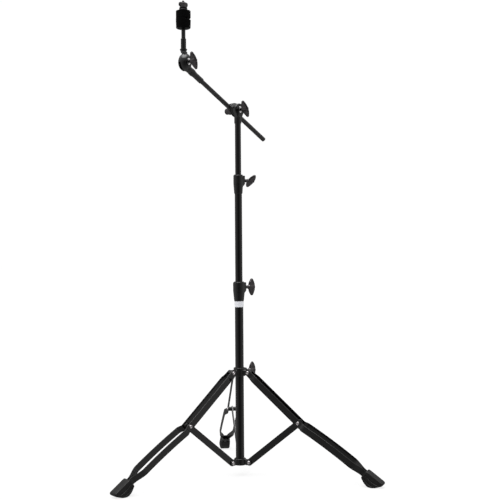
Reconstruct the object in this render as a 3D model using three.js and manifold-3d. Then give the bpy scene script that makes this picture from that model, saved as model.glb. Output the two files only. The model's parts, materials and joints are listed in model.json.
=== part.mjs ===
// Cymbal boom stand: a double-braced folding tripod, two telescoping tubes, a tilting boom
// rod and a cymbal tilter with its felts. Millimetres, +Z up, floor at z = 0, tube axis on Z.
import * as THREE from "three";
import { mergeVertices } from "three/addons/utils/BufferGeometryUtils.js";
import Module from "manifold-3d";

const wasm = await Module();
wasm.setup();

// ---- driving dimensions ----
const GAP = 0.3;
const BASE_TUBE = { outer: 11.1, inner: 9.9, bottom: 32, top: 481 };
const MID_TUBE = { outer: 9.53, inner: 8.33, bottom: 380, top: 762 };
const TOP_TUBE = { outer: 7.94, inner: 6.74, bottom: 620, top: 938 };

const LEG_AZIMUTHS = [90, 210, 330];
const BOLT_AZIMUTH = 30;
const PIVOT_RADIUS = 26;
const UPPER_PIVOT_Z = 271.4;
const LOWER_PIVOT_Z = 36;
const KNEE = { radius: 165, z: 148.6 };
const STRIP = { height: 17.2, hubEnd: 14.8, thickness: 2, nearHub: 8.6, atKnee: 12, spread: 19.5, inFoot: 5 };
const HUB_FACE = STRIP.nearHub + STRIP.thickness / 2 + GAP;
const KNEE_FACE = STRIP.atKnee + STRIP.thickness / 2 + GAP;
const STRIP_END = { radius: 345, z: 26 };
const BRACE = { height: 17.2, thickness: 2.5 };
const RIVET = { shank: 2.5, head: 4.5, headHeight: 1.5 };
const PIN_HOLE = RIVET.shank + GAP;
const SPACER_RADIUS = 5.75;
const LOWER_HUB = { radius: 15.5, bottom: 28.5, top: 45.5, earInner: 1.55, earOuter: 4.75 };
const LEG_HUB = { radius: 15.6, below: 9.6, above: 12.4, lug: 7.3, boss: 20.3, boltRise: 2.5 };
const FOOT_HALF_WIDTH = 13.5;

const BASE_COLLAR = { bottom: 458.5, top: 508, foot: 12.9, rim: 15.5, boss: 20.3, boltZ: 494.5 };
const MID_COLLAR = { bottom: 740.5, top: 789, foot: 10.9, rim: 12.8, boss: 18.4, boltZ: 775.5 };
const WING_REACH = 27;
const WING_SPAN = 22.8;
const STUD_RADIUS = 3;
const STUD_HOLE = STUD_RADIUS + GAP;
const RUN_CLEARANCE = 0.05;

const BOOM_AZIMUTH = -144;
const BOOM_TILT = 30.86;
const CLAMP_Z = 960.8;
const BOOM_OFFSET = -19;
const ROD = { radius: 5.9, tail: -134, head: 166 };
const BARREL = { radius: 10, hood: 19.5, disc: 16.5, knob: 8.4 };
const SHOE_RADIUS = 7.1;
const YOKE_FACE = 8.5;
const TILTER_REACH = 197;
const TILTER_RISE = 4.8;
const FORK = { far: -9.5, near: 20, slot: 4, slotHalf: 4.6, bridge: 13.9 };
const HOUSING = { plan: 17.3, tall: 23, shift: 5.5 };
const EYE_RADIUS = 13;

const POST_SOCKET = 26.5;
const FLARE_TOP = 1101;
const NECK_TOP = 1127.4;
const LOWER_FELT = { bottom: 1153.7, top: 1174.3, low: 18.2, high: 19 };
const UPPER_FELT = { bottom: 1178.9, top: 1197.1, radius: 18.7 };
const TOP_WASHER_Z = 1205.2;
const TOP_NUT_Z = 1219.6;
const STUD_TIP = 1223;
const SLEEVE = { radius: 5.1, neck: 4.5, bore: 3.3 };
const FELT_BORE = SLEEVE.neck + GAP + RUN_CLEARANCE;

// ---- materials ----
function finish(color, roughness, metalness) {
  return () => new THREE.MeshStandardMaterial({ color, roughness, metalness });
}
const blackPaint = finish(0x1a1a1c, 0.35, 0.3);
const castBlack = finish(0x202022, 0.45, 0.4);
const blackNickel = finish(0x4a494c, 0.25, 0.9);
const steel = finish(0xc4c2c4, 0.3, 1.0);
const nylon = finish(0x0f0f10, 0.6, 0.0);
const rubber = finish(0x2b2a2b, 0.75, 0.0);
const felt = finish(0x161415, 0.95, 0.0);
const silverLabel = finish(0xd9dade, 0.4, 0.3);

// ---- solids ----
// A closed three.js geometry becomes a manifold-3d solid, so that holes can be cut in it.
function solid(source) {
  const bare = source.clone();
  bare.deleteAttribute("normal");
  bare.deleteAttribute("uv");
  const merged = mergeVertices(bare, 1e-4);
  const corners = [];
  const index = merged.index.array;
  for (let i = 0; i < index.length; i += 3) {
    const [a, b, c] = [index[i], index[i + 1], index[i + 2]];
    if (a !== b && b !== c && c !== a) {
      corners.push(a, b, c);
    }
  }
  if (signedVolume(merged.attributes.position, corners) < 0) {
    corners.reverse();
  }
  return new wasm.Manifold(
    new wasm.Mesh({
      numProp: 3,
      vertProperties: Float32Array.from(merged.attributes.position.array),
      triVerts: Uint32Array.from(corners),
    }),
  );
}

function signedVolume(position, corners) {
  const [a, b, c] = [new THREE.Vector3(), new THREE.Vector3(), new THREE.Vector3()];
  let sum = 0;
  for (let i = 0; i < corners.length; i += 3) {
    a.fromBufferAttribute(position, corners[i]);
    b.fromBufferAttribute(position, corners[i + 1]);
    c.fromBufferAttribute(position, corners[i + 2]);
    sum += a.dot(b.cross(c)) / 6;
  }
  return sum;
}

function part(name, body, material) {
  const mesh = body.getMesh();
  const geometry = new THREE.BufferGeometry();
  geometry.setAttribute("position", new THREE.Float32BufferAttribute(mesh.vertProperties, 3));
  geometry.setIndex(Array.from(mesh.triVerts));
  geometry.computeVertexNormals();
  const node = new THREE.Mesh(geometry, material());
  node.name = name;
  return node;
}

// A profile of [radius, height] points turned about Z.
function turned(profile, segments = 24) {
  const points = profile.map(([r, z]) => new THREE.Vector2(r, z));
  return solid(new THREE.LatheGeometry(points, segments).rotateX(Math.PI / 2));
}

function cylinder(radius, from, to, segments = 18) {
  return turned([[0, from], [radius, from], [radius, to], [0, to]], segments);
}

function ring(outer, inner, from, to, segments = 24) {
  return turned([[inner, from], [outer, from], [outer, to], [inner, to], [inner, from]], segments);
}

// A solid turned about Z is laid along X, or along Y.
function alongX(body) {
  return body.rotate([0, 90, 0]);
}

function alongY(body) {
  return body.rotate([-90, 0, 0]);
}

// An outline in X and Z, with round corners already in it, given a thickness along Y.
function plate(outline, from, to) {
  const shape = new THREE.Shape(outline.map(([x, z]) => new THREE.Vector2(x, z)));
  const geometry = new THREE.ExtrudeGeometry(shape, { depth: to - from, bevelEnabled: false });
  return solid(geometry.rotateX(Math.PI / 2).translate(0, to, 0));
}

function arc(cx, cz, radius, fromDegrees, toDegrees, steps) {
  const points = [];
  for (let i = 0; i <= steps; i += 1) {
    const a = THREE.MathUtils.degToRad(fromDegrees + ((toDegrees - fromDegrees) * i) / steps);
    points.push([cx + radius * Math.cos(a), cz + radius * Math.sin(a)]);
  }
  return points;
}

function box(x0, x1, y0, y1, z0, z1) {
  const geometry = new THREE.BoxGeometry(x1 - x0, y1 - y0, z1 - z0);
  return solid(geometry.translate((x0 + x1) / 2, (y0 + y1) / 2, (z0 + z1) / 2));
}

function joined(...bodies) {
  return bodies.reduce((sum, body) => sum.add(body));
}

function cut(body, ...tools) {
  return tools.reduce((rest, tool) => rest.subtract(tool), body);
}

// ---- wing bolts and wing nuts: axis along +X, measured from the pressed surface ----
function wings(reach) {
  const upper = [
    [reach + 4, 0],
    [reach + 4.5, 6],
    [reach + 6.5, 13],
    ...arc(reach + 15.5, WING_SPAN - 4.6, 4.6, 155, 35, 4),
    [reach + 22.8, 14.5],
    [reach + 25.2, 8],
    [reach + 26, 0],
  ];
  const lower = upper.slice(1, -1).reverse().map(([x, z]) => [x, -z]);
  return plate([...upper, ...lower], -3.2, 3.2);
}

function wingBolt(tip) {
  const reach = WING_REACH;
  const screw = turned([
    [0, tip],
    [STUD_RADIUS, tip],
    [STUD_RADIUS, reach - 6],
    [3.8, reach - 6],
    [3.8, reach + 2],
    [6.6, reach + 5],
    [6.6, reach + 23],
    [5, reach + 26],
    [0, reach + 26.5],
  ], 14);
  return joined(alongX(screw), wings(reach));
}

function wingNut(reach, foot) {
  const body = turned([
    [0, reach + 26.5],
    [5, reach + 26],
    [6.6, reach + 23],
    [6.6, reach + 5],
    [5.2, reach + 3],
    [5.2, foot + 3],
    [8.2, foot + 3],
    [8.2, foot],
    [0, foot],
  ], 14);
  const hole = cylinder(STUD_HOLE, foot - 1, reach + 16, 14);
  return cut(joined(alongX(body), wings(reach)), alongX(hole));
}

// ---- column ----
function baseTube() {
  return ring(BASE_TUBE.outer, BASE_TUBE.inner, BASE_TUBE.bottom, BASE_TUBE.top, 28);
}

function midTube() {
  return ring(MID_TUBE.outer, MID_TUBE.inner, MID_TUBE.bottom, MID_TUBE.top, 28);
}

function topTube() {
  return ring(TOP_TUBE.outer, TOP_TUBE.inner, TOP_TUBE.bottom, TOP_TUBE.top, 26);
}

// A tapered clamp casting round a tube's top, with a square boss for its wing bolt.
function collar(size, bore, throat) {
  const bossBottom = size.boltZ - 13;
  const shell = turned([
    [0, size.bottom],
    [size.foot - 0.8, size.bottom],
    [size.foot, size.bottom + 1],
    [size.rim, bossBottom + 4],
    [size.rim, size.top - 1],
    [size.rim - 1, size.top],
    [0, size.top],
  ], 28);
  const boss = box(0, size.boss, -7, 7, bossBottom + 4, size.top - 0.5);
  const chin = plate([[0, bossBottom - 4], [size.foot, bossBottom - 4],
    [size.boss, bossBottom + 4], [size.boss, bossBottom + 5], [0, bossBottom + 5]], -7, 7);
  return cut(
    joined(shell, boss, chin),
    cylinder(bore + GAP + RUN_CLEARANCE, size.bottom - 1, size.top + 1, 28),
    alongX(cylinder(STUD_HOLE, throat, size.boss + 1, 14)).translate([0, 0, size.boltZ]),
  );
}

function bushing(tube, bore, from, to) {
  return ring(bore, tube.outer + GAP + RUN_CLEARANCE, from, to, 28);
}

function labelBand() {
  const inner = BASE_TUBE.outer + GAP;
  return ring(inner + 0.5, inner, 442.8, BASE_COLLAR.bottom - GAP, 28);
}

// ---- tripod ----
function lowerHub() {
  const { radius, bottom, top, earInner, earOuter } = LOWER_HUB;
  const body = cylinder(radius, bottom, top, 26);
  const ears = [];
  for (const azimuth of LEG_AZIMUTHS) {
    const outline = [[10, LOWER_PIVOT_Z - 6.6], ...arc(PIVOT_RADIUS, LOWER_PIVOT_Z, 7.2, -85, 85, 8),
      [10, LOWER_PIVOT_Z + 8.4]];
    ears.push(plate(outline, earInner, earOuter).rotate([0, 0, azimuth]));
    ears.push(plate(outline, -earOuter, -earInner).rotate([0, 0, azimuth]));
  }
  const holes = LEG_AZIMUTHS.map((azimuth) =>
    crossPin(PIN_HOLE, -9, 9, PIVOT_RADIUS, LOWER_PIVOT_Z).rotate([0, 0, azimuth]));
  const socket = cylinder(BASE_TUBE.outer + GAP, BASE_TUBE.bottom - GAP, 60, 28);
  const slots = LEG_AZIMUTHS.map((azimuth) =>
    box(14.4, 40, -earInner, earInner, bottom - 4, top + 2).rotate([0, 0, azimuth]));
  return cut(joined(body, ...ears), socket, ...slots, ...holes);
}

// A round bar lying along Y at a radius and height.
function crossPin(radius, from, to, x, z) {
  return alongY(cylinder(radius, from, to, 14)).translate([x, 0, z]);
}

function legHub() {
  const { radius, below, above, lug, boss: reach, boltRise } = LEG_HUB;
  const body = cylinder(radius, UPPER_PIVOT_Z - below, UPPER_PIVOT_Z + above, 28);
  const lugs = LEG_AZIMUTHS.map((azimuth) => {
    const outline = [[8, UPPER_PIVOT_Z - 7], ...arc(PIVOT_RADIUS, UPPER_PIVOT_Z, 7, -90, 90, 8),
      [8, UPPER_PIVOT_Z + 7]];
    return plate(outline, -lug, lug).rotate([0, 0, azimuth]);
  });
  const boss = box(0, reach, -7, 7, UPPER_PIVOT_Z - 5, UPPER_PIVOT_Z + 11);
  const bore = cylinder(BASE_TUBE.outer + GAP + RUN_CLEARANCE, 200, 300, 28);
  const holes = LEG_AZIMUTHS.map((azimuth) =>
    crossPin(PIN_HOLE, -9, 9, PIVOT_RADIUS, UPPER_PIVOT_Z).rotate([0, 0, azimuth]));
  const thread = alongX(cylinder(STUD_HOLE, 5, 25, 14)).translate([0, 0, UPPER_PIVOT_Z + boltRise]);
  return cut(
    joined(body, ...lugs, boss.rotate([0, 0, BOLT_AZIMUTH])),
    bore,
    ...holes,
    thread.rotate([0, 0, BOLT_AZIMUTH]),
  );
}

// The middle line of a leg strip in the leg's upright plane: straight from the hub rivet to
// just past the knee, then a shallow arch down into the rubber foot.
function legLine() {
  const hub = new THREE.Vector3(PIVOT_RADIUS, 0, UPPER_PIVOT_Z);
  const knee = new THREE.Vector3(KNEE.radius, 0, KNEE.z);
  const along = knee.clone().sub(hub).normalize();
  const bend = knee.clone().addScaledVector(along, 8);
  const end = new THREE.Vector3(STRIP_END.radius, 0, STRIP_END.z);
  const handle = 56;
  const arch = new THREE.CubicBezierCurve3(
    bend,
    bend.clone().add(new THREE.Vector3(handle, 0, -0.575 * handle)),
    end.clone().add(new THREE.Vector3(-handle, 0, 0.8 * handle)),
    end,
  );
  const line = new THREE.CurvePath();
  line.add(new THREE.LineCurve3(hub, bend));
  line.add(arch);
  return { line, along, kneeAt: hub.distanceTo(knee), length: line.getLength() };
}

function between(value, from, to) {
  return THREE.MathUtils.smoothstep(value, from, to);
}

// How far a strip's middle stands off the leg's middle plane, by distance from the hub rivet.
function standOff(distance, kneeAt, length) {
  const { nearHub, atKnee, spread, inFoot } = STRIP;
  const joggle = (atKnee - nearHub) * between(distance, 14, 27);
  const outward = (spread - atKnee) * between(distance, kneeAt + 7, kneeAt + 21);
  const inward = (inFoot - spread) * between(distance, length - 52, length - 13);
  return nearHub + joggle + outward + inward;
}

function legStrip(side) {
  const { line, along, kneeAt, length } = legLine();
  const hubHalf = STRIP.hubEnd / 2;
  const rings = [];
  const addRing = (at, slope, halfHeight, off, thickness) => {
    const up = new THREE.Vector3(-slope.z, 0, slope.x).multiplyScalar(halfHeight);
    const y = [off - thickness / 2, off + thickness / 2];
    rings.push([
      [at.x + up.x, y[1], at.z + up.z],
      [at.x + up.x, y[0], at.z + up.z],
      [at.x - up.x, y[0], at.z - up.z],
      [at.x - up.x, y[1], at.z - up.z],
    ]);
  };
  const hub = line.getPoint(0);
  for (const angle of [80, 62, 42, 21]) {
    const a = THREE.MathUtils.degToRad(angle);
    const at = hub.clone().addScaledVector(along, -hubHalf * Math.sin(a));
    addRing(at, along, hubHalf * Math.cos(a), STRIP.nearHub, STRIP.thickness);
  }
  const stops = [0, 14, 17, 20.5, 24, 27, kneeAt - 20, kneeAt + 4];
  for (let i = 0; i <= 6; i += 1) {
    stops.push(kneeAt + 7 + (14 * i) / 6);
  }
  for (let i = 1; i < 8; i += 1) {
    stops.push(kneeAt + 21 + ((length - 52 - kneeAt - 21) * i) / 8);
  }
  for (let i = 0; i <= 8; i += 1) {
    stops.push(length - 52 + (39 * i) / 8);
  }
  stops.push(length);
  for (const distance of stops) {
    const share = Math.min(distance / length, 1);
    const at = line.getPointAt(share);
    const slope = line.getTangentAt(share);
    const half = hubHalf + ((STRIP.height - STRIP.hubEnd) / 2) * between(distance, 0, 24);
    const ahead = standOff(distance + 0.5, kneeAt, length);
    const lean = ahead - standOff(distance - 0.5, kneeAt, length);
    const thickness = STRIP.thickness * Math.hypot(1, lean);
    addRing(at, slope, half, standOff(distance, kneeAt, length), thickness);
  }
  const body = skin(rings);
  const holes = [
    crossPin(PIN_HOLE, 0, 30, PIVOT_RADIUS, UPPER_PIVOT_Z),
    crossPin(PIN_HOLE, 0, 30, KNEE.radius, KNEE.z),
  ];
  const strip = cut(body, ...holes);
  return side > 0 ? strip : strip.mirror([0, 1, 0]);
}

// Rings of the same number of corners, joined in order and closed at both ends.
function skin(rings) {
  const count = rings[0].length;
  const positions = rings.flat(2);
  const index = [];
  for (let r = 0; r < rings.length - 1; r += 1) {
    for (let i = 0; i < count; i += 1) {
      const [a, b] = [r * count + i, r * count + ((i + 1) % count)];
      index.push(a, b, a + count, b, b + count, a + count);
    }
  }
  const last = (rings.length - 1) * count;
  for (let i = 1; i < count - 1; i += 1) {
    index.push(0, i + 1, i, last, last + i, last + i + 1);
  }
  const geometry = new THREE.BufferGeometry();
  geometry.setAttribute("position", new THREE.Float32BufferAttribute(positions, 3));
  geometry.setIndex(index);
  return solid(geometry);
}

function brace() {
  const rise = KNEE.z - LOWER_PIVOT_Z;
  const run = KNEE.radius - PIVOT_RADIUS;
  const tilt = THREE.MathUtils.radToDeg(Math.atan2(rise, run));
  const outline = [
    ...arc(PIVOT_RADIUS, LOWER_PIVOT_Z, BRACE.height / 2, tilt + 90, tilt + 270, 8),
    ...arc(KNEE.radius, KNEE.z, BRACE.height / 2, tilt - 90, tilt + 90, 8),
  ];
  return cut(
    plate(outline, -BRACE.thickness / 2, BRACE.thickness / 2),
    crossPin(PIN_HOLE, -5, 5, PIVOT_RADIUS, LOWER_PIVOT_Z),
    crossPin(PIN_HOLE, -5, 5, KNEE.radius, KNEE.z),
  );
}

function rivet(face, z) {
  const top = face + RIVET.headHeight;
  const profile = [[0, -top], [RIVET.head - 1, -top], [RIVET.head, -face - 0.5], [RIVET.head, -face],
    [RIVET.shank, -face], [RIVET.shank, face], [RIVET.head, face], [RIVET.head, face + 0.5],
    [RIVET.head - 1, top], [0, top]];
  return alongY(turned(profile, 14)).translate([PIVOT_RADIUS, 0, z]);
}

function kneeRivet(side) {
  const face = KNEE_FACE;
  const start = BRACE.thickness / 2 + GAP;
  const top = face + RIVET.headHeight;
  const half = turned([[0, start], [RIVET.shank, start], [RIVET.shank, face], [RIVET.head, face],
    [RIVET.head, face + 0.5], [RIVET.head - 1, top], [0, top]], 14);
  const laid = alongY(half).translate([KNEE.radius, 0, KNEE.z]);
  return side > 0 ? laid : laid.mirror([0, 1, 0]);
}

function kneeSpacer(side) {
  const from = BRACE.thickness / 2 + GAP;
  const to = STRIP.atKnee - STRIP.thickness / 2 - GAP;
  const sleeve = ring(SPACER_RADIUS, PIN_HOLE + RUN_CLEARANCE, from, to, 14);
  const laid = alongY(sleeve).translate([KNEE.radius, 0, KNEE.z]);
  return side > 0 ? laid : laid.mirror([0, 1, 0]);
}

function rubberFoot() {
  const outline = [
    [329.8, 24.6], [331, 21.5], [337, 10.5], [345, 2.2], [349, 0.3], [352, 0], [363.5, 0],
    [367, 0.6], [382, 5.4], [385.6, 8.2], [386, 11.5], [384, 14.5], [350, 38.8], [346, 41.2],
    [342.8, 40.9],
  ];
  const slab = plate(outline, -FOOT_HALF_WIDTH, FOOT_HALF_WIDTH);
  const { line, length } = legLine();
  const mouth = line.getPointAt((length - 13) / length);
  const end = line.getPointAt(1);
  const down = end.clone().sub(mouth);
  const tilt = THREE.MathUtils.radToDeg(Math.atan2(-down.z, down.x));
  const reach = STRIP.inFoot + STRIP.thickness / 2 + GAP;
  const half = STRIP.height / 2 + 0.6;
  const pocket = box(-22, 1, -reach, reach, -half, half)
    .rotate([0, tilt, 0])
    .translate([end.x, 0, end.z]);
  return cut(slab, pocket);
}

function tripodLeg(number) {
  const leg = new THREE.Group();
  leg.add(part(`leg_${number}_strip_left`, legStrip(1), blackPaint));
  leg.add(part(`leg_${number}_strip_right`, legStrip(-1), blackPaint));
  leg.add(part(`leg_${number}_brace`, brace(), blackPaint));
  leg.add(part(`leg_${number}_hub_rivet`, rivet(HUB_FACE, UPPER_PIVOT_Z), steel));
  leg.add(part(`leg_${number}_knee_rivet_left`, kneeRivet(1), steel));
  leg.add(part(`leg_${number}_knee_rivet_right`, kneeRivet(-1), steel));
  leg.add(part(`leg_${number}_knee_spacer_left`, kneeSpacer(1), nylon));
  leg.add(part(`leg_${number}_knee_spacer_right`, kneeSpacer(-1), nylon));
  leg.add(part(`leg_${number}_brace_rivet`, rivet(LOWER_HUB.earOuter + GAP, LOWER_PIVOT_Z), steel));
  leg.add(part(`leg_${number}_foot`, rubberFoot(), rubber));
  return leg;
}

// ---- boom clamp: X along the boom, Y across it towards the wing nut, Z up from the pivot ----
function boomYoke() {
  const socket = turned([[0, -36], [8.9, -36], [9.5, -33], [9.5, -19], [0, -19]], 26);
  const outline = [[-8, -20], [8, -20], ...arc(0, 0, BARREL.disc, -40, 220, 18)];
  return cut(
    joined(socket, plate(outline, -4, YOKE_FACE)),
    cylinder(TOP_TUBE.outer + GAP, -40, TOP_TUBE.top - CLAMP_Z + GAP, 26),
    alongY(cylinder(STUD_HOLE, -6, 12, 14)),
  );
}

// A solid turned about Z, laid along -Y, away from the wing nut.
function awayFromNut(body) {
  return alongY(body).mirror([0, 1, 0]);
}

// The disc against the yoke, with the hood that covers the rod and the eye bolt's barrel.
function rodHolder() {
  const { radius, hood, disc } = BARREL;
  const shell = turned([[0, 9], [hood, 9], [hood, 23.5], [hood - 1, 24.5], [0, 24.5]], 28);
  const underside = box(-20, 20, -30, 0, -20, radius + 0.4);
  return cut(
    joined(
      cut(awayFromNut(shell), underside),
      awayFromNut(cylinder(disc, 4.3, 9.4, 28)),
    ),
    alongY(cylinder(STUD_HOLE, -15, 0, 14)),
    boomLine(cylinder(SHOE_RADIUS + 2 * GAP, -30, 30, 18)),
  );
}

// A solid turned about Z, laid along the boom rod's line.
function boomLine(body) {
  return body.rotate([0, 90, 0]).rotate([0, -BOOM_TILT, 0]).translate([0, BOOM_OFFSET, 0]);
}

function eyeBolt() {
  const { radius, knob } = BARREL;
  const bolt = turned([[0, -43], [knob - 1, -43], [knob, -42], [knob, -32], [radius, -31],
    [radius, -9.8], [STUD_RADIUS, -9.8], [STUD_RADIUS, 26], [0, 26]], 22);
  return cut(alongY(bolt), boomLine(cylinder(SHOE_RADIUS + GAP, -30, 30, 18)));
}

function rodShoe() {
  return boomLine(ring(SHOE_RADIUS, ROD.radius + GAP, -9, 9, 18));
}

function clampWingNut() {
  return wingNut(13, YOKE_FACE + GAP).rotate([0, 0, 90]);
}

function boomRod() {
  return boomLine(turned([[0, ROD.tail], [ROD.radius - 1, ROD.tail], [ROD.radius, ROD.tail + 1],
    [ROD.radius, ROD.head], [0, ROD.head]], 18));
}

// ---- cymbal tilter: the same axes, the origin at the tilter's pivot ----
// A solid turned about Z, laid back along the rod's line, which runs below the pivot.
function backAlongRod(body) {
  return body.rotate([0, -90, 0]).rotate([0, -BOOM_TILT, 0]).translate([0, 0, -TILTER_RISE]);
}

// The housing's rounded outside, over the fork's and the head's widths.
function housing(from, to) {
  const { plan, tall, shift } = HOUSING;
  const ball = new THREE.SphereGeometry(1, 30, 20).rotateX(Math.PI / 2);
  const shell = solid(ball.scale(plan, plan, tall).translate(0, shift, 0));
  return shell.intersect(box(-30, 30, from, to, -30, 30));
}

function tilterFork() {
  const { far, near, slot, slotHalf, bridge } = FORK;
  const behind = box(-60, -bridge, -30, 30, -30, 30).rotate([0, -BOOM_TILT, 0]);
  const web = housing(slot - slotHalf - 1, slot + slotHalf + 1).intersect(behind);
  const ferrule = turned([[0, 13.6], [9, 13.6], [9, 20], [8.2, 31], [8.2, 41], [7.6, 41.5],
    [7.6, 69], [6.9, 70], [0, 70]], 22);
  const rodHole = cylinder(ROD.radius + GAP, TILTER_REACH - ROD.head - GAP, 90, 18);
  return cut(
    joined(
      housing(slot + slotHalf, near),
      housing(far, slot - slotHalf),
      web,
      backAlongRod(ferrule),
    ),
    backAlongRod(rodHole),
    alongY(cylinder(STUD_HOLE, -15, 25, 14)),
    alongY(cylinder(EYE_RADIUS + 0.6, slot - slotHalf, slot + slotHalf, 26)),
  );
}

// The eye is full at the front and top, and narrow where it swings past the fork's web.
function tilterHead(pivotZ) {
  const { slot, slotHalf } = FORK;
  const [from, to] = [slot - slotHalf + 0.4, slot + slotHalf - 0.4];
  const front = plate([[0, 0], ...arc(0, 0, 30, -2, 118, 12)], from, to);
  const eye = plate(arc(0, 0, EYE_RADIUS, 0, 350, 24), from, to);
  const neck = plate([[-6.6, 0], [6.6, 0], [6.6, 27], [-6.6, 27]], from, to);
  const top = FLARE_TOP - pivotZ;
  const flare = turned([[0, 22], [4, 24], [6.6, 24.2], [6.9, 27], [9.6, top], [0, top]], 22);
  return cut(
    joined(eye, front.intersect(housing(from - 1, to + 1)), neck, flare),
    alongY(cylinder(STUD_HOLE, -15, 15, 14)),
    cylinder(3.6 + GAP, POST_SOCKET, 60, 14),
  );
}

function tilterBolt() {
  const face = FORK.far - GAP;
  return alongY(turned([[0, face - 3.3], [4, face - 3.3], [6, face - 1.7], [6, face],
    [STUD_RADIUS, face], [STUD_RADIUS, 38], [0, 38]], 14));
}

function tilterWingNut() {
  return wingNut(24.2, FORK.near + GAP).rotate([0, 0, 90]);
}

// ---- cymbal post and seat, in the stand's own heights about the post's axis ----
function cymbalPost(pivotZ) {
  const foot = pivotZ + POST_SOCKET + GAP;
  return turned([[0, foot], [3.6, foot], [3.6, FLARE_TOP + GAP],
    [6.8, FLARE_TOP + GAP], [6.8, NECK_TOP - 1], [6, NECK_TOP], [3, NECK_TOP], [3, STUD_TIP - 1],
    [2, STUD_TIP], [0, STUD_TIP]], 22);
}

function sleeve() {
  const [foot, shoulder, top] = [NECK_TOP + GAP, LOWER_FELT.bottom - 1.9, UPPER_FELT.top - 2];
  return turned([[SLEEVE.bore, foot], [SLEEVE.radius, foot], [SLEEVE.radius, shoulder],
    [SLEEVE.neck, shoulder], [SLEEVE.neck, top], [SLEEVE.bore, top], [SLEEVE.bore, foot]], 22);
}

function seatCup() {
  const bottom = LOWER_FELT.bottom - 1.6;
  return turned([[FELT_BORE, bottom], [15.5, bottom], [17.8, bottom + 1.3],
    [FELT_BORE, bottom + 1.3], [FELT_BORE, bottom]], 26);
}

function lowerFelt() {
  return turned([[FELT_BORE, LOWER_FELT.bottom], [LOWER_FELT.low, LOWER_FELT.bottom],
    [LOWER_FELT.high, LOWER_FELT.top - 2], [LOWER_FELT.high - 0.6, LOWER_FELT.top],
    [FELT_BORE, LOWER_FELT.top], [FELT_BORE, LOWER_FELT.bottom]], 28);
}

function upperFelt() {
  return ring(UPPER_FELT.radius, FELT_BORE, UPPER_FELT.bottom, UPPER_FELT.top, 28);
}

function topWasher() {
  const bottom = UPPER_FELT.top + GAP;
  return turned([[STUD_HOLE, bottom], [11.4, bottom], [11.4, bottom + 2.4], [10.2, bottom + 4],
    [10.2, TOP_WASHER_Z], [STUD_HOLE, TOP_WASHER_Z], [STUD_HOLE, bottom]], 24);
}

function topWingNut() {
  const bottom = TOP_WASHER_Z + GAP;
  const lobes = plate([[-6, bottom], [-12.6, bottom + 5.5], [-13, bottom + 12.5],
    [-11, TOP_NUT_Z], [-6.5, TOP_NUT_Z - 1.5], [6.5, TOP_NUT_Z - 1.5], [11, TOP_NUT_Z],
    [13, bottom + 12.5], [12.6, bottom + 5.5], [6, bottom]], -3, 3);
  const hub = turned([[0, bottom], [8.5, bottom], [7, TOP_NUT_Z - 2], [6, TOP_NUT_Z - 1],
    [0, TOP_NUT_Z - 1]], 18);
  return cut(joined(hub, lobes), cylinder(STUD_HOLE, bottom - 1, TOP_NUT_Z + 2, 14));
}

// ---- assembly ----
const radians = THREE.MathUtils.degToRad;
const stand = new THREE.Group();

function place(node, azimuth, z = 0, spin = 0) {
  const mount = new THREE.Group();
  mount.rotation.z = radians(azimuth);
  mount.position.z = z;
  node.rotation.x = radians(spin);
  mount.add(node);
  stand.add(mount);
}

stand.add(part("base_tube", baseTube(), blackPaint));
stand.add(part("label_band", labelBand(), silverLabel));
stand.add(part("mid_tube", midTube(), blackPaint));
stand.add(part("top_tube", topTube(), blackPaint));
stand.add(part("base_bushing", bushing(MID_TUBE, 11.1, 481.4, 508.8), nylon));
stand.add(part("mid_bushing", bushing(TOP_TUBE, 9.53, 762.4, 789.8), nylon));
stand.add(part("lower_hub", lowerHub(), castBlack));
stand.add(part("leg_hub", legHub(), castBlack));
place(part("base_collar", collar(BASE_COLLAR, BASE_TUBE.outer, 6), castBlack), BOLT_AZIMUTH);
place(part("mid_collar", collar(MID_COLLAR, MID_TUBE.outer, 6), castBlack), BOLT_AZIMUTH);

const BOLTS = [
  { name: "base_wing_bolt", z: BASE_COLLAR.boltZ, tip: 11.45, spin: 0 },
  { name: "mid_wing_bolt", z: MID_COLLAR.boltZ, tip: 9.88, spin: 51 },
  { name: "hub_wing_bolt", z: UPPER_PIVOT_Z + LEG_HUB.boltRise, tip: 11.5, spin: 0 },
];
for (const bolt of BOLTS) {
  const screw = wingBolt(bolt.tip);
  place(part(bolt.name, screw, blackNickel), BOLT_AZIMUTH, bolt.z, bolt.spin);
}

LEG_AZIMUTHS.forEach((azimuth, i) => {
  const leg = tripodLeg(i + 1);
  leg.rotation.z = radians(azimuth);
  stand.add(leg);
});

const clamp = new THREE.Group();
clamp.rotation.z = radians(BOOM_AZIMUTH);
clamp.position.z = CLAMP_Z;
clamp.add(part("boom_yoke", boomYoke(), castBlack));
clamp.add(part("rod_holder", rodHolder(), castBlack));
clamp.add(part("clamp_eye_bolt", eyeBolt(), blackNickel));
clamp.add(part("rod_shoe", rodShoe(), nylon));
clamp.add(part("boom_rod", boomRod(), blackPaint));
const clampNut = part("clamp_wing_nut", clampWingNut(), blackNickel);
clampNut.rotation.y = radians(26);
clamp.add(clampNut);
stand.add(clamp);

const tilt = radians(BOOM_TILT);
const pivotZ = CLAMP_Z + TILTER_REACH * Math.sin(tilt) + TILTER_RISE;
const tilter = new THREE.Group();
tilter.position.set(TILTER_REACH * Math.cos(tilt), BOOM_OFFSET, pivotZ - CLAMP_Z);
tilter.add(part("tilter_fork", tilterFork(), castBlack));
tilter.add(part("tilter_head", tilterHead(pivotZ), castBlack));
tilter.add(part("tilter_bolt", tilterBolt(), blackNickel));
const tilterNut = part("tilter_wing_nut", tilterWingNut(), blackNickel);
tilterNut.rotation.y = radians(21);
tilter.add(tilterNut);
clamp.add(tilter);

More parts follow.
